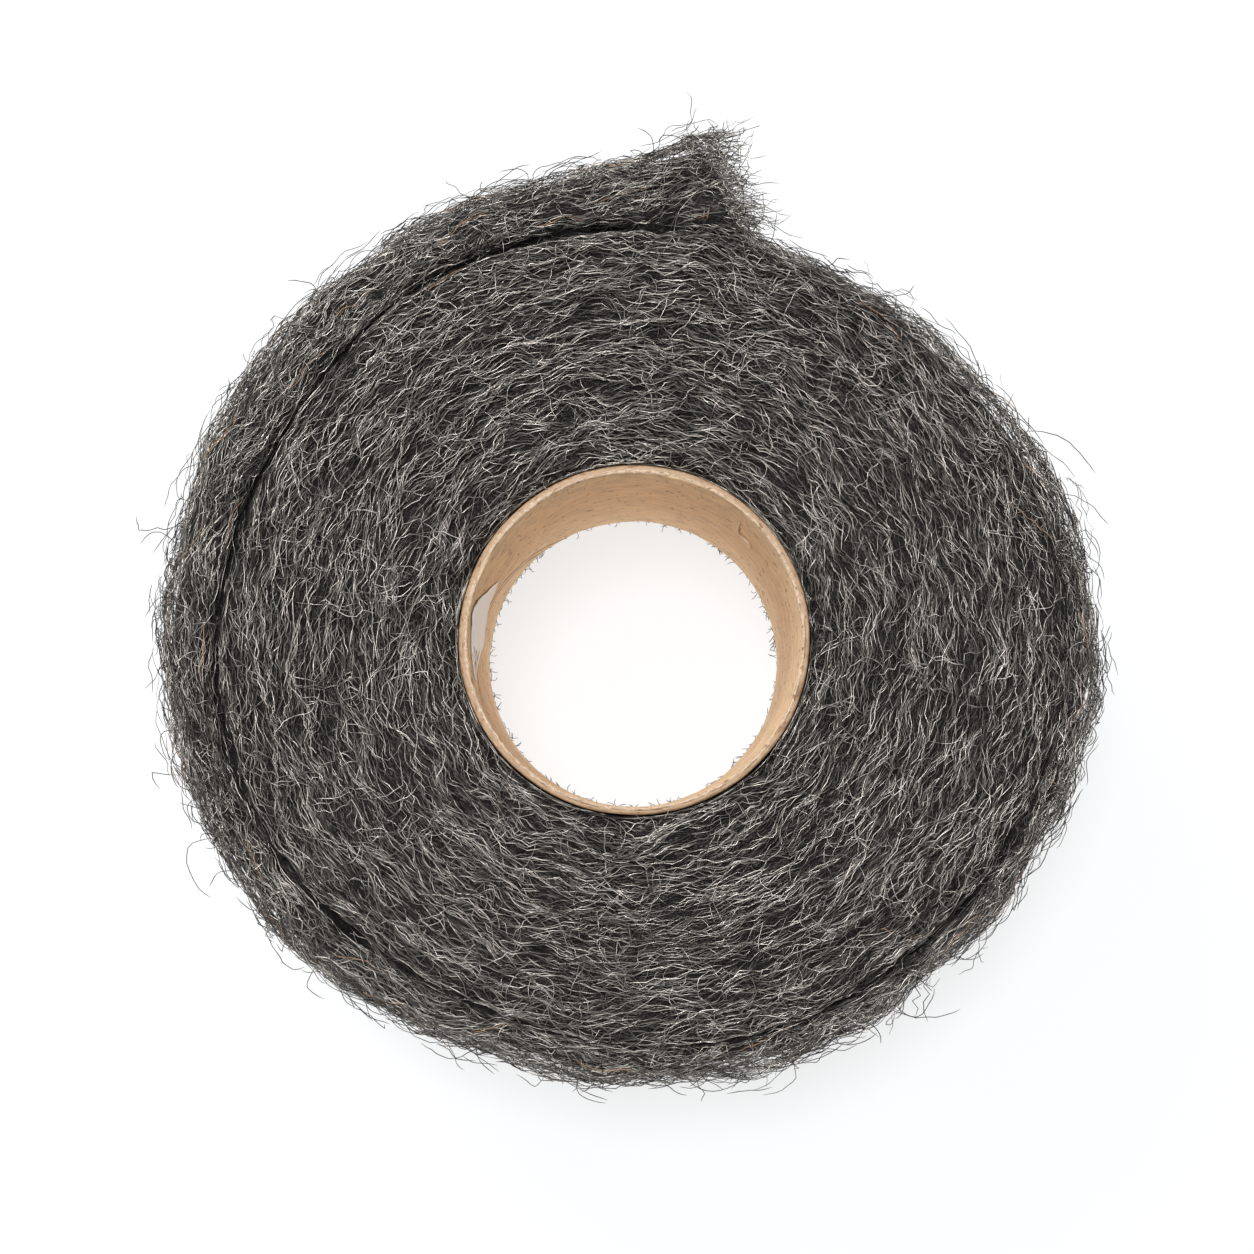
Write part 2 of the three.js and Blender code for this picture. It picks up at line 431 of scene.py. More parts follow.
def loose_fibre(name, dark, light, rough, metallic=0.8):
    """Loose fibres, of bare steel unless they are less metallic. Each fibre has a shade of
    its own between dark and light, read from its cell of the fibre map, which changes a
    little along it."""
    material, tree, shader = new_material(name)
    lie = tree.nodes.new("ShaderNodeUVMap")
    lie.uv_map = "OFBake"
    own = add(tree, "ShaderNodeTexNoise", "shade of each fibre", Scale=170.0, Detail=0.0)
    own.noise_dimensions = "2D"
    tree.links.new(lie.outputs["UV"], own.inputs["Vector"])
    spread = between(tree, "wider spread", own.outputs["Fac"], 0.3, 0.7, smooth=False)
    middle = tuple(0.68 * a + 0.32 * b for a, b in zip(dark, light))
    colour = ramp(tree, "dark to light fibre", spread, [(0.0, dark), (0.55, middle), (1.0, light)])
    tree.links.new(colour, shader.inputs["Base Color"])
    shader.inputs["Metallic"].default_value = metallic
    shader.inputs["Roughness"].default_value = rough
    return material


def kraft_board():
    """Kraft paperboard: warm brown paper with faint streaks round the tube, short dark
    flecks, two ply edges that climb the inside, and pale torn fibres on the cut rim, which
    is a deeper brown at its outer edge."""
    material, tree, shader = new_material("kraft_board")
    x, y, z, radius = about_axis(tree)
    streaks = patchy(tree, "paper streaks", 4.0, 2.2, 4.0, BORE_WALL)
    mottle = patchy(tree, "mottled pulp", 2.0, 5.0, 3.0, BORE_WALL)
    mix = maths(tree, "ADD", "streaks and mottle",
                maths(tree, "MULTIPLY", "streaks", streaks, 0.6),
                maths(tree, "MULTIPLY", "mottle", mottle, 0.4))
    paper = ramp(tree, "kraft paper", mix, [
        (0.35, (0.62, 0.445, 0.26)), (0.5, (0.77, 0.57, 0.345)), (0.65, (0.89, 0.685, 0.44))])

    fleck_field = patchy(tree, "flecks", 1.0, 2.8, 1.0, BORE_WALL)
    flecks = between(tree, "few flecks", fleck_field, 0.655, 0.70)
    paper = mixed(tree, "dark flecks",
                  maths(tree, "MULTIPLY", "fleck strength", flecks, 0.7),
                  paper, (0.33, 0.15, 0.05))

    # The ply edge climbs PLY_RISE over each radian, and passes the left side at PLY_LEFT.
    angle = maths(tree, "ARCTAN2", "angle from the left side",
                  maths(tree, "MULTIPLY", "minus y", y, -1.0),
                  maths(tree, "MULTIPLY", "minus x", x, -1.0))
    climb = maths(tree, "SUBTRACT", "height over the ply edge", z,
                  maths(tree, "MULTIPLY_ADD", "climbing edge", angle, PLY_RISE * MM, PLY_LEFT * MM))
    inside = between(tree, "inside only", radius, (CORE_INNER + 0.5) * MM, (CORE_INNER + 0.3) * MM)
    for offset, strength in ((0.0, 0.9), (-4.8, 0.75)):
        away = maths(tree, "ABSOLUTE", "distance from the edge",
                     maths(tree, "ADD", "edge offset", climb, offset * MM))
        edge = maths(tree, "MULTIPLY", "ply edge",
                     between(tree, "thin edge", away, 1.4 * MM, 0.5 * MM), inside)
        paper = mixed(tree, "shadow of the ply edge",
                      maths(tree, "MULTIPLY", "edge strength", edge, strength),
                      paper, (0.24, 0.12, 0.05))

    # The cut rim: pale at the bore, deeper brown outside, torn in between.
    torn = patchy(tree, "torn fibres", 0.7, 0.25, 3.0, BORE_WALL)
    across = maths(tree, "ADD", "across the rim",
                   between(tree, "across the wall", radius, CORE_INNER * MM,
                           CORE_OUTER * MM, smooth=False),
                   maths(tree, "MULTIPLY_ADD", "unevenly", torn, 1.3, -0.65))
    rim = ramp(tree, "cut rim", across, [
        (0.0, (0.34, 0.23, 0.14)), (0.2, (0.50, 0.385, 0.285)), (0.36, (0.34, 0.23, 0.14)),
        (0.76, (0.31, 0.20, 0.115)), (1.0, (0.22, 0.12, 0.06))])
    brown = (0.15, 0.07, 0.03)
    nick_field = patchy(tree, "nicks", 1.3, 0.35, 1.0, BORE_WALL)
    nicks = between(tree, "few nicks", nick_field, 0.62, 0.68)
    rim = mixed(tree, "brown nicks", maths(tree, "MULTIPLY", "nick strength", nicks, 0.75), rim, brown)

    # The nicks in the mesh itself cut below the level rim. They stay rim-coloured there, and are
    # darkened to brown at the bottom: painted shade in the hollow of each nick.
    cut = maths(tree, "MULTIPLY", "cut through the wall",
                between(tree, "off the bore", radius, (CORE_INNER + 0.12) * MM, (CORE_INNER + 0.25) * MM),
                between(tree, "near the rim", z, (HEIGHT - 1.6) * MM, (HEIGHT - 1.2) * MM))
    deep = maths(tree, "MULTIPLY", "bottom of a nick", cut,
                 between(tree, "below the rim", z, (HEIGHT - 0.25) * MM, (HEIGHT - 0.6) * MM))
    rim = mixed(tree, "painted shade in the nicks", maths(tree, "MULTIPLY", "nick shade", deep, 0.6), rim, brown)
    top = maths(tree, "MAXIMUM", "rim only", cut,
                between(tree, "level rim", z, (HEIGHT - 0.55) * MM, (HEIGHT - 0.2) * MM))
    paper = mixed(tree, "rim over paper", top, paper, rim)
    tree.links.new(paper, shader.inputs["Base Color"])
    rough = maths(tree, "MULTIPLY_ADD", "paper roughness", mix, 0.25, 0.52)
    tree.links.new(rough, shader.inputs["Roughness"])
    pulp = maths(tree, "ADD", "paper relief", mix, torn)
    bumped(tree, shader, "paper fibres", pulp, 0.35, 0.0002)
    return material


def clear_tape():
    """Old clear tape: a hazy film, part see-through, with faint drag lines."""
    material, tree, shader = new_material("clear_tape")
    drag = patchy(tree, "drag lines", 7.0, 0.5, 3.0, BORE_WALL)
    haze = ramp(tree, "haze", drag, [(0.3, (0.90, 0.88, 0.86)), (0.7, (0.98, 0.97, 0.96))])
    tree.links.new(haze, shader.inputs["Base Color"])
    shader.inputs["Alpha"].default_value = 0.84
    shader.inputs["Roughness"].default_value = 0.28
    shader.inputs["IOR"].default_value = 1.47
    bumped(tree, shader, "ripples", drag, 0.3, 0.0001)
    return material


# ---------------------------------------------------------------- the packed body


def fleece_body(material):
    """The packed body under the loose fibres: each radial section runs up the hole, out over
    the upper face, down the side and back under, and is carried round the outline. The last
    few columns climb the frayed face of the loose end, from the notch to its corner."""
    end_columns, columns = 9, 216
    end = END_ANGLE + 1.3  # short of the fibres of the loose end
    turns = np.linspace(end, NOTCH_ANGLE - 0.5, columns - end_columns)
    outer = smooth_through(OUTLINE, turns) - BODY_INSET
    share = np.arange(1, end_columns + 1) / (end_columns + 1)
    turns = np.concatenate([turns, turns[-1] + (end + 360 - turns[-1]) * share ** 0.8])
    outer = np.concatenate([outer, outer[-1] + (outer[0] - outer[-1]) * share])
    thinning = np.exp(-(((turns - end) % 360) / 4) ** 2)  # towards the loose end
    outer = outer - 1.0 * thinning * (turns < 180)

    def even(count):
        return np.linspace(0, 1, count, endpoint=False)[:, None]

    low, high = 0.25, HEIGHT - 1.1  # its end faces, before the relief
    centre = outer - RIM
    level = np.zeros_like(outer)
    face, under = even(36), even(16)
    lean, side, hole = even(6) * np.pi / 2, even(24), even(6)
    parts = [  # radius, height, and how much of the upper or lower relief each row takes
        (HOLE + (centre - HOLE) * face, high + level, level - 1),
        (centre + RIM * np.sin(lean), high - RIM + RIM * np.cos(lean) + level, level - np.cos(lean)),
        (outer + 0 * side, high - RIM - (high - low - 2 * RIM) * side + level, 0 * side + level),
        (centre + RIM * np.cos(lean), low + RIM - RIM * np.sin(lean) + level, level + np.sin(lean)),
        (centre - (centre - HOLE) * under, low + level, level + 1),
        (HOLE + level + 0 * hole, low + (high - low) * hole + level, 0 * hole + level),
    ]
    radius, z, sinks = (np.concatenate([np.broadcast_to(part[k], (len(part[0]), columns))
                                        for part in parts]) for k in range(3))
    turn = np.broadcast_to(turns, radius.shape)
    outer_turn = radius > OUTLINE[-1, 1] + 0.2  # what lies outside the notch
    sink = relief(turn, radius, 1.2) + 2.0 * thinning * outer_turn
    # Painted shade for the valleys: how far the material darkens the seam and the dip against the core, by
    # their depth.
    painted_valley_shade = np.clip(0.4 * sum(valleys(turn, radius)) * np.abs(sinks), 0, 1)
    z = z + np.where(sinks < 0, sink * sinks, 0.3 * sink * sinks)
    bulge = side_bulge(turn, radius, z) * (1 - np.abs(sinks))
    radius = radius + bulge * (radius > HOLE + 5)  # the side alone
    rows = len(radius)
    piece = mesh_piece("packed_fleece", around(turn, radius, z), grid_faces(rows, columns), material)
    lay_out_grid(piece, rows, columns)
    shade = piece.data.attributes.new("painted_valley_shade", "FLOAT", "POINT")
    shade.data.foreach_set("value", painted_valley_shade.astype(np.float32).ravel())
    return piece


# ---------------------------------------------------------------- loose fibres


def bundled(rng, values, apart, bundle):
    """Values for bundles of fibres, given to each fibre with a little spread."""
    return np.repeat(values, bundle) + rng.normal(0, apart, len(values) * bundle)


def even_spread(rng, count):
    """Pairs of numbers from 0 to 1 that fill the square evenly: multiples of two fractions
    that share no rhythm, shifted as a whole."""
    steps = np.arange(count)[:, None] * (0.7548777, 0.5698403)
    return ((steps + rng.random(2)) % 1).T


def wander(rng, turn, across, place, steps, stride, spread, wild, curl, bundle, drift_seed):
    """Paths of fibres over a surface, step by step. A fibre runs the way the turns do,
    turned aside by a drift that it shares with all its neighbours, and by an angle, two
    waves and for some a steady curl that it shares with its bundle. Place gives the drift's
    coordinates and the radius, from degrees round the roll and distance across it."""
    groups = len(turn) // bundle
    loose = rng.random(groups) < wild
    own = rng.choice([0.0, np.pi], groups) + rng.normal(0, np.where(loose, 0.95, spread))
    own = bundled(rng, own, 0.08, bundle)
    waves = []
    for short, long, least, most in ((4.5, 10.0, 0.06, 0.30), (1.9, 4.2, 0.10, 0.40)):
        size = rng.uniform(least, most, groups) * np.where(loose, 1.6, 1.0)
        waves.append((bundled(rng, 2 * np.pi / rng.uniform(short, long, groups), 0.02, bundle),
                      bundled(rng, size, 0.05, bundle),
                      bundled(rng, rng.uniform(0, 2 * np.pi, groups), 0.35, bundle)))
    bend = bundled(rng, np.where(rng.random(groups) < curl, rng.normal(0, 0.3, groups), 0),
                   0.01, bundle)
    path = [(turn, across)]
    for s in np.arange(1, steps) * stride:
        a, b, radius = place(turn, across)
        heading = own + bend * s + 0.15 * lumps(a, b, drift_seed, 9) + 0.10 * lumps(
            a, b, drift_seed + 1, 3.6)
        for wave, size, phase in waves:
            heading = heading + size * np.sin(wave * s + phase)
        turn = turn + np.degrees(np.cos(heading) * stride / radius)
        across = across + np.sin(heading) * stride
        path.append((turn, across))
    turns, acrosses = zip(*path)
    return np.stack(turns, 1), np.stack(acrosses, 1)


def tubes(name, centres, width, material, rng, outward):
    """Closed three-sided tubes along rows of centre points, one row for each fibre, turning
    about their own length, and thinner towards both ends. The fibre map gives each fibre a
    cell of its own."""
    count, steps = centres.shape[:2]
    ahead = np.gradient(centres, axis=1)
    ahead /= np.linalg.norm(ahead, axis=-1, keepdims=True) + 1e-9
    aside = np.cross(ahead, outward)
    aside /= np.linalg.norm(aside, axis=-1, keepdims=True) + 1e-9
    up = np.cross(aside, ahead)
    ends = np.ones(steps)
    ends[[0, -1]], ends[[1, -2]] = 0.35, 0.85
    size = width[:, None] * ends * 0.6  # from the middle out to the three corners
    twist = rng.uniform(0, 2 * np.pi, (count, 1)) + rng.normal(0, 0.25, (count, 1)) * np.arange(steps)
    ring = [centres + (np.cos(twist + way) * size)[..., None] * aside
            + (np.sin(twist + way) * size)[..., None] * up
            for way in (0, 2 * np.pi / 3, 4 * np.pi / 3)]
    points = np.stack(ring, 2)
    first = (np.arange(count) * steps * 3)[:, None, None]
    corner = first + (np.arange(steps - 1) * 3)[None, :, None] + np.arange(3)
    beside = first + (np.arange(steps - 1) * 3)[None, :, None] + (np.arange(3) + 1) % 3
    walls = np.stack([np.stack([corner, beside, beside + 3], -1),
                      np.stack([corner, beside + 3, corner + 3], -1)], 3)
    last = first[:, 0] + (steps - 1) * 3
    caps = np.concatenate([first[:, 0] + [[0, 2, 1]], last + [[0, 1, 2]]])
    piece = mesh_piece(name, points, np.concatenate([walls.reshape(-1, 3), caps]), material)
    cells = math.ceil(math.sqrt(count))
    cell = np.arange(count)[:, None, None]
    u = cell % cells + 0.2 + 0.6 * np.linspace(0, 1, steps)[None, :, None]
    v = cell // cells + 0.25 + 0.25 * np.arange(3)[None, None, :]
    lay_out(piece, np.stack(np.broadcast_arrays(u, v), -1) / cells)
    return piece


def waving(rng, count, steps, stride, size):
    """A slow rise and fall along each fibre, so that fibres pass over and under."""
    wave = 2 * np.pi / rng.uniform(4, 10, (count, 1))
    return size * np.sin(wave * np.arange(steps) * stride + rng.uniform(0, WHOLE_WAVE, (count, 1)))


def face_fibres(name, seed, groups, steps, stride, material, lifts, widths, spread=0.1,
                wild=0.08, curl=0.05, upper=True, bundle=3):
    """Bundled fibres over an end face, from the core out to the seam. Lifts bound how far
    they lie out from it."""
    rng = np.random.default_rng(seed)
    count = groups * bundle
    first, second = even_spread(rng, groups)
    turn = END_ANGLE + 360 * first
    least, most = (HOLE - 0.5) ** 2, (smooth_through(SEAM, turn) + 0.6) ** 2
    radius = np.sqrt(least + (most - least) * second)
    turn = bundled(rng, turn, 1.5, bundle)
    radius = np.maximum(bundled(rng, radius, 0.75, bundle), HOLE)

    def place(turn, radius):
        return *flat_place(turn, radius), np.maximum(radius, HOLE)

    t, r = wander(rng, turn, radius, place, steps, stride, spread, wild, curl, bundle, 50)
    r = np.maximum(r, HOLE + 0.1 + 0.4 * rng.random((count, 1)))
    shown = END_ANGLE + (t - END_ANGLE) % 360
    r = parted(rng, shown, r)
    lift = bundled(rng, rng.uniform(*lifts, groups), 0.12, bundle)[:, None]
    lift = lift + waving(rng, count, steps, stride, 0.25)
    sink = relief(shown, r, rng.uniform(0.65, 1.0, (count, 1)))
    z = HEIGHT - sink + lift if upper else np.maximum(0.35 + 0.3 * sink - lift, FLOOR_GAP)
    centres = around(t, r, z)
    outward = np.broadcast_to([0.0, 0.0, 1.0 if upper else -1.0], centres.shape)
    return tubes(name, centres, rng.uniform(*widths, count), material, rng, outward)


def outer_fibres(name, seed, groups, steps, stride, material, first, last, lifts, widths,
                 spread=0.12, wild=0.1, curl=0.05, bundle=3):
    """Bundled fibres of the outer turn, from its seam over the rim and down the side. First
    and last bound where they lie along the section; a first of None is the seam. Lifts are
    the least distance out from the surface and the mean of what is added to it."""
    rng = np.random.default_rng(seed)
    count = groups * bundle
    if first is None:
        turns = np.linspace(END_ANGLE - 1, NOTCH_ANGLE + 3, 720)
        seam = smooth_through(SEAM, turns) - smooth_through(OUTLINE, turns) + RIM - RIM * np.pi / 4
    else:
        turns, seam = np.array([END_ANGLE - 1, NOTCH_ANGLE + 3]), np.full(2, float(first))
    share, second = even_spread(rng, groups)
    wide = np.cumsum(last - seam) - (last - seam[0])
    turn = np.interp(share, wide / wide[-1], turns)
    start = np.interp(turn, turns, seam)
    start = start + (last - start) * second

    def place(turn, across):
        radius = smooth_through(OUTLINE, turn)
        return radius * np.radians(turn), across, radius

    t, along = wander(rng, bundled(rng, turn, 1.2, bundle), bundled(rng, start, 0.7, bundle),
                      place, steps, stride, spread, wild, curl, bundle, 60)
    t = np.maximum(t, END_ANGLE - rng.exponential(1.0, (count, 1)))
    lift = bundled(rng, lifts[0] + rng.exponential(lifts[1], groups), 0.15, bundle)[:, None]
    lift = lift + waving(rng, count, steps, stride, 0.3)
    r, z, out_r, out_z = on_fleece(t, along, lift, rng.uniform(0.65, 1.0, (count, 1)))
    centres = around(t, np.where(out_z > 0.7, parted(rng, t, r), r), np.maximum(z, FLOOR_GAP))
    outward = around(t, out_r, out_z)
    return tubes(name, centres, rng.uniform(*widths, count), material, rng, outward)


def crinkled(rng, angle, s, waves):
    """The heading of each fibre at distances s along it, with a few waves of random size
    added: each wave is (shortest, longest, most)."""
    count = len(angle)
    for short, long, size in waves:
        wave = 2 * np.pi / rng.uniform(short, long, (count, 1))
        size = size * rng.random((count, 1))
        angle = angle + size * np.sin(wave * s + rng.uniform(0, WHOLE_WAVE, (count, 1)))
    return angle


def walked(angle, stride):
    """How far ahead and aside a fibre has come after each step at its heading."""
    return np.cumsum(np.cos(angle) * stride, 1), np.cumsum(np.sin(angle) * stride, 1)


def stray_hairs(name, seed, count, steps, material, lengths, widths):
    """Single hairs that stand out from the side and the upper rim: each leaves at an angle,
    in a plane of its own tilt, and bends back in an arc with small waves."""
    rng = np.random.default_rng(seed)
    turn = rng.uniform(END_ANGLE, NOTCH_ANGLE, (count, 1))
    along = np.where(rng.random((count, 1)) < 0.45, rng.uniform(-2, 6, (count, 1)),
                     rng.uniform(6, SECTION - 2, (count, 1)))
    r, z, out_r, out_z = on_fleece(turn, along, -BODY_INSET)
    out = around(turn, out_r, out_z)[:, 0]
    side = around(turn + 90, 1.0, 0.0)[:, 0]
    rise = np.cross(side, out)
    tilt = rng.normal(0, 0.7, (count, 1))
    lean = out * np.cos(tilt) + rise * np.sin(tilt)
    length = np.clip(rng.lognormal(math.log(lengths[0]), 0.45, (count, 1)), 2.0, lengths[1])
    stride = length / (steps - 1)
    s = np.arange(steps) * stride
    leave = rng.uniform(0.25, 1.25, (count, 1))
    bend = -rng.uniform(0.4, 2.6, (count, 1)) / length
    bend = np.where(rng.random((count, 1)) < 0.2, -1.6 * bend, bend)
    angle = crinkled(rng, leave + bend * s, s, ((4, 9, 0.35), (1.8, 4, 0.25)))
    way = rng.choice([-1.0, 1.0], (count, 1))
    ahead, outwards = walked(angle, stride)
    outwards = HAIR_REACH * np.tanh(outwards / HAIR_REACH)
    centres = (around(turn, r, z) + ahead[..., None] * (side * way)[:, None]
               + outwards[..., None] * lean[:, None])
    centres[..., 2] = np.clip(centres[..., 2], FLOOR_GAP, HEIGHT + 3.5)
    return tubes(name, centres, rng.uniform(*widths, count), material, rng,
                 np.broadcast_to(rise[:, None], centres.shape))


def frayed_end(name, seed, count, steps, material, widths, length, reach):
    """The torn fibres of the loose end: each starts on its end face and runs on past it,
    fanned out and crinkled."""
    rng = np.random.default_rng(seed)
    share = rng.random((count, 1))
    turn = NOTCH_ANGLE - 360 + (END_ANGLE - NOTCH_ANGLE + 360) * share ** 0.8
    turn = turn + rng.uniform(*reach, (count, 1))
    notch, corner = OUTLINE[-1, 1] - 0.6, OUTLINE[0, 1] - 0.5
    r = notch + (corner - notch) * share
    top = HEIGHT - 0.6
    z = np.where(rng.random((count, 1)) < 0.3, top - rng.exponential(2.5, (count, 1)),
                 rng.uniform(1.5, top, (count, 1)))
    onward = around(turn - 90, 1.0, 0.0)[:, 0]
    out = around(turn, 1.0, 0.0)[:, 0]
    rise = np.broadcast_to([0.0, 0.0, 1.0], out.shape)
    tilt = rng.uniform(-1.2, 1.2, (count, 1))
    lean = out * np.cos(tilt) + rise * np.sin(tilt)
    stride = np.clip(rng.lognormal(math.log(length), 0.4, (count, 1)), 1.5, 9.0) / (steps - 1)
    s = np.arange(steps) * stride
    angle = rng.normal(0.15, 0.6, (count, 1)) + rng.normal(0, 0.14, (count, 1)) * s
    ahead, outwards = walked(crinkled(rng, angle, s, ((3, 7, 0.6), (1.5, 3, 0.6))), stride)
    centres = (around(turn, r, z) + ahead[..., None] * onward[:, None]
               + outwards[..., None] * lean[:, None])
    centres[..., 2] = np.clip(centres[..., 2], FLOOR_GAP, HEIGHT + 1.5)
    return tubes(name, centres, rng.uniform(*widths, count), material, rng,
                 np.broadcast_to(rise[:, None], centres.shape))


def core_wisps(name, seed, count, steps, material, radius, lowest, highest):
    """Short fibres that creep in over or under an edge of the core, from the wool."""
    rng = np.random.default_rng(seed)
    turn = rng.uniform(0, 360, (count, 1))
    stride = rng.uniform(0.10, 0.28, (count, 1))
    s = np.arange(steps) * stride
    angle = rng.uniform(-0.1, 0.8, (count, 1)) + rng.normal(0, 0.8, (count, 1)) * s
    way = rng.choice([-1.0, 1.0], (count, 1))
    side = around(turn + 90, 1.0, 0.0)[:, 0] * way
    inward = around(turn, -1.0, 0.0)[:, 0]
    ahead, inwards = walked(angle, stride)
    centres = (around(turn, radius, rng.uniform(lowest, highest, (count, 1)))
               + ahead[..., None] * side[:, None] + inwards[..., None] * inward[:, None])
    out = np.broadcast_to([0.0, 0.0, 1.0], centres.shape)
    return tubes(name, centres, rng.uniform(*THIN, count), material, rng, out)


def core_thread(name, material):
    """One pale fibre stuck to the bore's wall: it runs down in a hooked curve."""
    share = np.linspace(0, 1, 30)[None, :]
    turn = 52 - 5 * share + 3.5 * np.sin(5 * share) * share
    height = 62 - 20 * share + 3 * np.sin(9 * share)
    centres = around(turn, CORE_INNER - 0.25, height)
    out = around(turn, 1.0, 0.0) * (1, 1, 0)
    return tubes(name, centres, np.array([0.30]), material, np.random.default_rng(12), out)


# ---------------------------------------------------------------- the core and the tape

PLY_RISE = 43.0  # millimetres that the ply edge climbs in one radian
PLY_LEFT = 39.8  # its height at the left side of the bore


def core(material):
    """The paperboard tube: its wall's section, with rounded edges, carried round the axis.
    The upper rim is torn, so its height waves, with narrow nicks, and the wall is a little
    out of true, with a low step along the ply edge."""
    rng = np.random.default_rng(21)
    columns, edge = 240, 0.38
    turns = np.arange(columns) * 360 / columns

    def even(low, high, count):
        return np.linspace(low, high, count, endpoint=False)

    lean = even(0, np.pi / 2, 4)
    rows = [(CORE_INNER, z) for z in even(edge, HEIGHT - edge, 25)]
    rows += [(CORE_INNER + edge - edge * np.cos(a), HEIGHT - edge + edge * np.sin(a)) for a in lean]
    rows += [(r, HEIGHT) for r in even(CORE_INNER + edge, CORE_OUTER - edge, 5)]
    rows += [(CORE_OUTER - edge + edge * np.sin(a), HEIGHT - edge + edge * np.cos(a)) for a in lean]
    rows += [(CORE_OUTER, z) for z in even(HEIGHT - edge, edge, 10)]
    rows += [(CORE_OUTER - edge + edge * np.cos(a), edge - edge * np.sin(a)) for a in lean]
    rows += [(r, 0.0) for r in even(CORE_OUTER - edge, CORE_INNER + edge, 3)]
    rows += [(CORE_INNER + edge - edge * np.sin(a), edge - edge * np.cos(a)) for a in lean]
    radius, z = (np.array(column)[:, None] + 0 * turns for column in zip(*rows))
    turn = np.broadcast_to(turns, radius.shape)

    arc = CORE_INNER * np.radians(turn)
    torn = 0.05 * lumps(arc, radius * 3, 31, 1.6) + 0.05 * lumps(arc, radius * 2, 32, 4)
    nicks, small = 0, 34  # small nicks, before three larger ones
    places = np.append(rng.uniform(0, 360, small), [330, 299, 331.5])
    depths = np.append(rng.uniform(0.12, 0.4, small), [0.8, 0.6, 0.6])
    widths = np.append(rng.uniform(0.3, 1.1, small), [1.0, 0.35, 0.7])
    inner_side = np.append(rng.random(small) < 0.6, [True, False, False])
    for place, depth, width, inner in zip(places, depths, widths, inner_side):
        off = ((turn - place + 180) % 360 - 180) * np.radians(CORE_INNER)
        across = np.clip((radius - CORE_INNER) / CORE_WALL, 0, 1)
        share = 1 - across if inner else across
        nicks = nicks + depth * share * np.exp(-(off / width) ** 2)
    near_top = np.clip((z - HEIGHT + 1.2) / 1.2, 0, 1)
    z = z - (np.abs(torn) + nicks) * near_top
    out_of_true = 0.10 * lumps(arc, z, 33, 18) + 0.03 * lumps(arc, z, 34, 5)
    climb = z - PLY_LEFT - PLY_RISE * np.radians(turn % 360 - 180)
    ply_step = 0.14 / (1 + np.exp(-climb / 0.4)) * np.clip((150 - np.abs(turn - 180)) / 60, 0, 1)
    inside = radius < CORE_INNER + 0.5
    radius = radius + np.where(inside, -np.abs(out_of_true) * 0.6 - ply_step + 0.14, out_of_true * 0.4)
    piece = mesh_piece("paper_core", around(turn, radius, z), grid_faces(len(rows), columns), material)
    lay_out_grid(piece, len(rows), columns)
    return piece


# The tape's upper and lower edges inside the core: (degrees from +X, height).
TAPE_UPPER = np.array([(155, 39.5), (160, 49), (171, 70.5), (180, 68.6), (188, 68.2), (196.5, 69)])
TAPE_LOWER = np.array([(155, 38.5), (163, 36.5), (172, 34), (181, 35.5), (185, 44), (196.5, 67.5)])
TAPE_TORN_FROM = 181.5  # past this its end is split into fingers


def tape(material):
    """The scrap of tape: a sheet on the bore's wall between its two edge curves, a little
    wavy, split into fingers at one end, and given its thickness last."""
    columns, rows = 56, 30
    turns = np.linspace(155.2, 196.3, columns)[:, None]
    share = np.linspace(0, 1, rows)[None, :]
    upper, lower = smooth_through(TAPE_UPPER, turns), smooth_through(TAPE_LOWER, turns)
    z = lower + (upper - lower) * share
    lifted = 0.05 + 0.08 * np.clip(lumps(turns * 0.4, z, 41, 6), 0, 1.5)
    points = around(turns + 0 * share, CORE_INNER - 0.22 - lifted, z)
    faces = grid_faces(columns, rows, False, False)
    column, row = faces[:, 0] // rows, faces[:, 0] % rows / rows
    past = turns[column, 0] - TAPE_TORN_FROM
    slits = ((0.20, 0.06, 0.5), (0.42, 0.08, 1.5), (0.66, 0.06, 0.5), (0.84, 0.05, 3.5))
    keep = np.ones(len(faces), bool)
    for middle, half, start in slits:
        keep &= ~((np.abs(row - middle) < half * np.clip((past - start) / 2, 0, 1)) & (past > start))
    piece = mesh_piece("tape_scrap", points, faces[keep], material)
    solid = piece.modifiers.new("thickness", "SOLIDIFY")
    solid.thickness, solid.offset = 0.06 * MM, 0.0
    return piece


# ---------------------------------------------------------------- floor, light and camera

FLOOR_GLOW = 0.75  # of the floor's own light
DOME = 0.40  # strength of the light from all round
LAMP_WIDTH = 0.3  # metres
LAMPS = (("high_lamp", 17.0, (-0.10, 0.14, 1.45)), ("near_lamp", 2.8, (-0.27, 0.34, 0.52)))


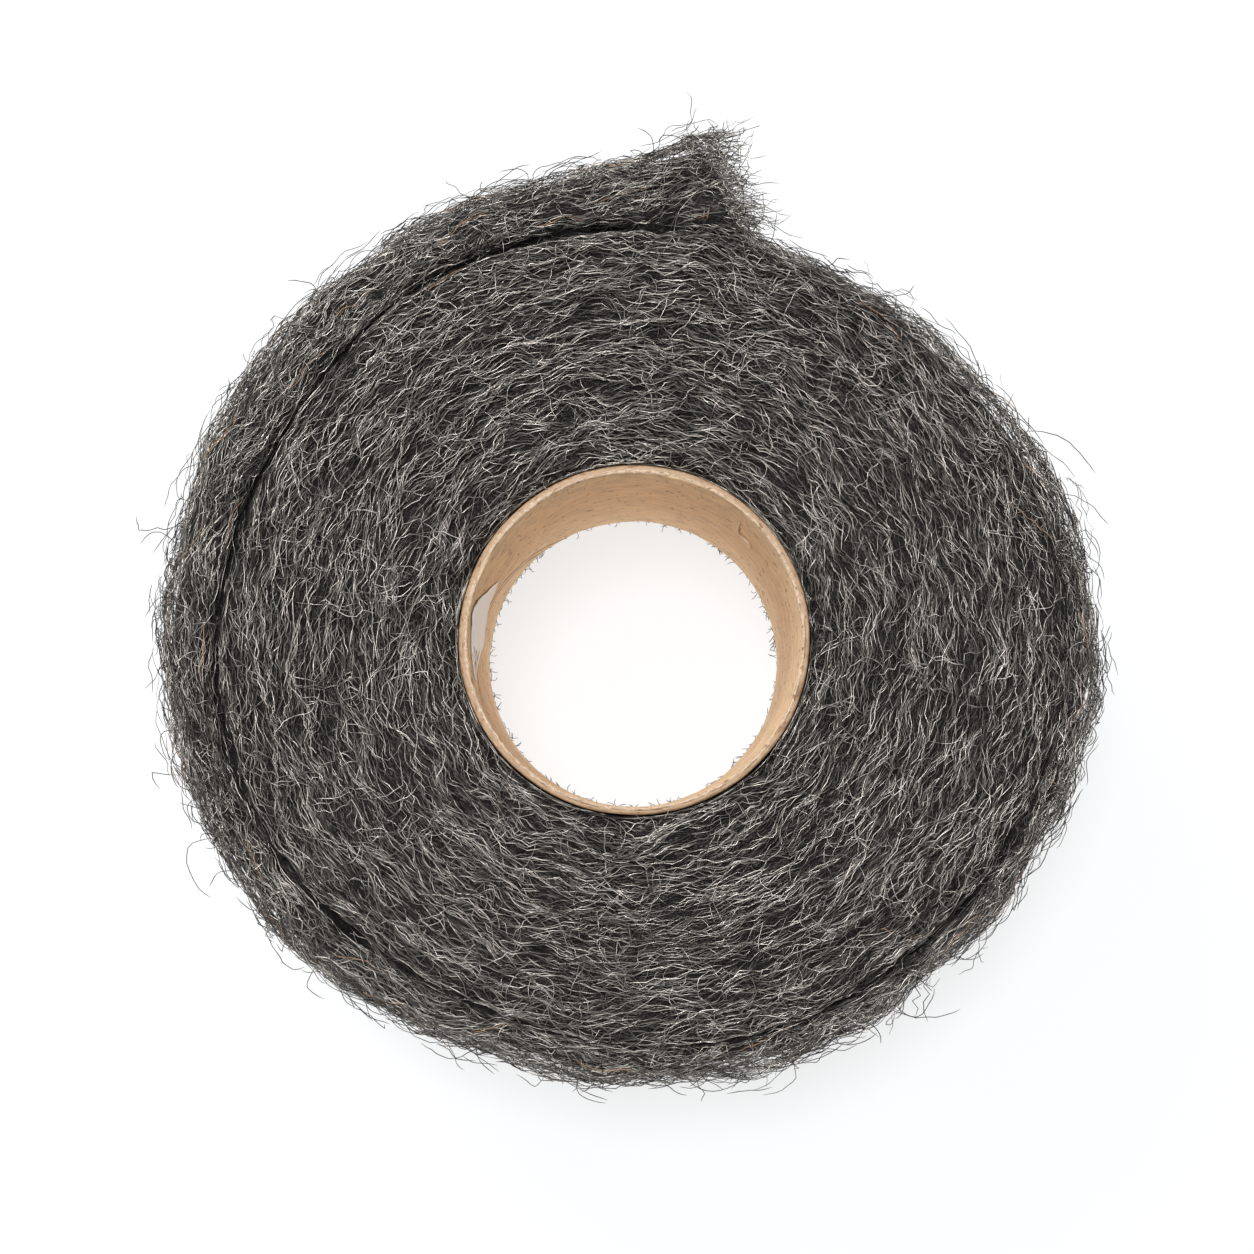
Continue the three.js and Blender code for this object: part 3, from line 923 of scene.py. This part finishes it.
def studio():
    """A white floor, a white dome, a soft lamp almost overhead and a nearer one behind to
    the left."""
    material, tree, shader = new_material("studio_floor")
    place = tree.nodes.new("ShaderNodeTexCoord")
    grain = noise(tree, "faint unevenness", place.outputs["Object"], 6.0, 3.0)
    colour = ramp(tree, "faintly cool white", grain, [(0.3, (0.18, 0.19, 0.20)), (0.7, (0.20, 0.21, 0.22))])
    tree.links.new(colour, shader.inputs["Base Color"])
    shader.inputs["Roughness"].default_value = 0.9
    shader.inputs["Emission Color"].default_value = (1, 1, 1, 1)
    shader.inputs["Emission Strength"].default_value = FLOOR_GLOW
    half, below = 3.0, -0.0002  # just under what stands on it
    mesh = bpy.data.meshes.new("studio_floor")
    corners = [(-half, -half, below), (half, -half, below), (half, half, below), (-half, half, below)]
    mesh.from_pydata(corners, [], [(0, 1, 2, 3)])
    mesh.materials.append(material)
    floor = bpy.data.objects.new("studio_floor", mesh)
    bpy.context.scene.collection.objects.link(floor)

    world = bpy.data.worlds.new("white_dome")
    world.use_nodes = True
    background = world.node_tree.nodes["Background"]
    background.inputs["Color"].default_value = (1, 1, 1, 1)
    background.inputs["Strength"].default_value = DOME
    bpy.context.scene.world = world

    for name, power, place in LAMPS:
        lamp = bpy.data.lights.new(name, "AREA")
        lamp.energy, lamp.shape, lamp.size = power, "DISK", LAMP_WIDTH
        holder = bpy.data.objects.new(name, lamp)
        holder.location = place
        aim(holder, (0, 0, HEIGHT * MM))
        bpy.context.scene.collection.objects.link(holder)


def aim(thing, target):
    """Turns a lamp or a camera to look at a point, with its top towards +Y."""
    way = mathutils.Vector(target) - thing.location
    thing.rotation_euler = way.to_track_quat("-Z", "Y").to_euler()


def camera():
    """The camera looks almost straight down, from a little in front of the core's axis."""
    data = bpy.data.cameras.new("camera")
    data.lens, data.sensor_width = 82.5, 36.0
    data.clip_start, data.clip_end = 0.01, 20
    view = bpy.data.objects.new("camera", data)
    above_top, in_front = 436.0, 25.2
    view.location = (AXIS_X * MM, (AXIS_Y - in_front) * MM, (HEIGHT + above_top) * MM)
    aim(view, ((AXIS_X - 1.2) * MM, (AXIS_Y + 1.8) * MM, HEIGHT * MM))
    bpy.context.scene.collection.objects.link(view)
    bpy.context.scene.camera = view


bpy.context.scene.view_settings.view_transform = "Standard"
camera()
studio()

# ---------------------------------------------------------------- the pieces

body = fleece_body(packed_wool())
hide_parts("wool_roll")
paper_core = core(kraft_board())
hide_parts("core_tube")
tape_scrap = tape(clear_tape())
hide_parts("tape_patch")

# Painted shade: this darker copy of the steel goes on the fibres low in the upper face and on those under
# the lower face.
shaded_steel = loose_fibre("painted_shade_steel", (0.007, 0.0065, 0.0059), (0.175, 0.163, 0.148), 0.45)
grey = loose_fibre("grey_steel", (0.026, 0.0242, 0.022), (0.62, 0.578, 0.524), 0.40)
# Painted shade: a darker copy of the grey steel, for the fibres of the side, which lies in shade.
shaded_side_grey = loose_fibre("shaded_side_steel", (0.026, 0.0242, 0.022), (0.45, 0.419, 0.38), 0.42)
bright = loose_fibre("bright_steel", (0.25, 0.234, 0.213), (0.76, 0.72, 0.67), 0.38)
hair = loose_fibre("stray_steel", (0.03, 0.027, 0.024), (0.20, 0.185, 0.168), 0.45)
rust = loose_fibre("rusted_steel", (0.20, 0.10, 0.05), (0.52, 0.33, 0.20), 0.7, metallic=0.2)
pale = loose_fibre("paper_fibre", (0.90, 0.80, 0.66), (0.96, 0.88, 0.76), 0.6, metallic=0.0)

# Fibres over a surface: name, seed, bundles, steps, millimetres a step and finish, then for
# the outer turn where along its section they lie, how far out they lie, and their widths.
wool = [
    body,
    face_fibres("upper_fibres_low", 1, 1000, 9, 1.5, shaded_steel, (-0.9, -0.3), THICK),
    face_fibres("upper_fibres_high", 2, 1180, 9, 1.4, grey, (-0.3, 0.25), FINE),
    face_fibres("upper_fibres_loose", 3, 1100, 10, 1.0, grey, (0.1, 0.45), THIN,
                spread=0.28, wild=0.15, curl=0.2, bundle=1),
    face_fibres("upper_fibres_bright", 13, 420, 11, 0.95, bright, (0.15, 0.5), THIN,
                spread=0.35, wild=0.3, curl=0.25, bundle=1),
    outer_fibres("rim_fibres", 4, 820, 9, 1.35, grey, None, 4.0, (-1.0, 0.5), FINE),
    outer_fibres("rim_fibres_loose", 14, 700, 10, 0.95, grey, None, 4.0, (-0.4, 0.5), THIN,
                 spread=0.5, wild=0.4, curl=0.3, bundle=1),
    # The side's fibres take the darker copy of the steel: painted shade.
    outer_fibres("side_fibres", 5, 850, 8, 1.9, shaded_side_grey, 2.0, SECTION + 4, (-1.2, 0.5), THICK),
    outer_fibres("side_fibres_bright", 6, 420, 10, 1.2, bright, -3.0, SECTION + 3, (-0.6, 0.5),
                 THIN, spread=0.45, wild=0.4, curl=0.2, bundle=1),
    outer_fibres("rim_fuzz", 12, 1150, 8, 1.0, hair, -2.0, 9.0, (-0.4, 0.7), FINE,
                 spread=0.4, wild=0.4, curl=0.3, bundle=1),
    # Under the lower face: the darker copy of the steel, painted shade.
    face_fibres("lower_fibres", 7, 200, 8, 1.8, shaded_steel, (-0.1, 0.3), THICK, upper=False),
    stray_hairs("stray_hairs", 8, 820, 12, hair, (6.5, 17), FINE),
    frayed_end("frayed_end", 9, 1250, 8, grey, FINE, 4.4, (0.3, 5.5)),
    outer_fibres("rust_fibres", 10, 45, 12, 0.9, rust, None, 6.0, (-0.3, 0.5), FINE, bundle=1),
    core_wisps("lower_wisps", 11, 320, 7, hair, CORE_INNER + 0.25, 0.15, 0.8),
    core_wisps("upper_wisps", 15, 60, 7, grey, HOLE + 0.9, HEIGHT + 0.1, HEIGHT + 0.5),
]
thread = core_thread("core_thread", pale)
for piece in (*wool, thread, paper_core, tape_scrap):
    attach(piece, "root")
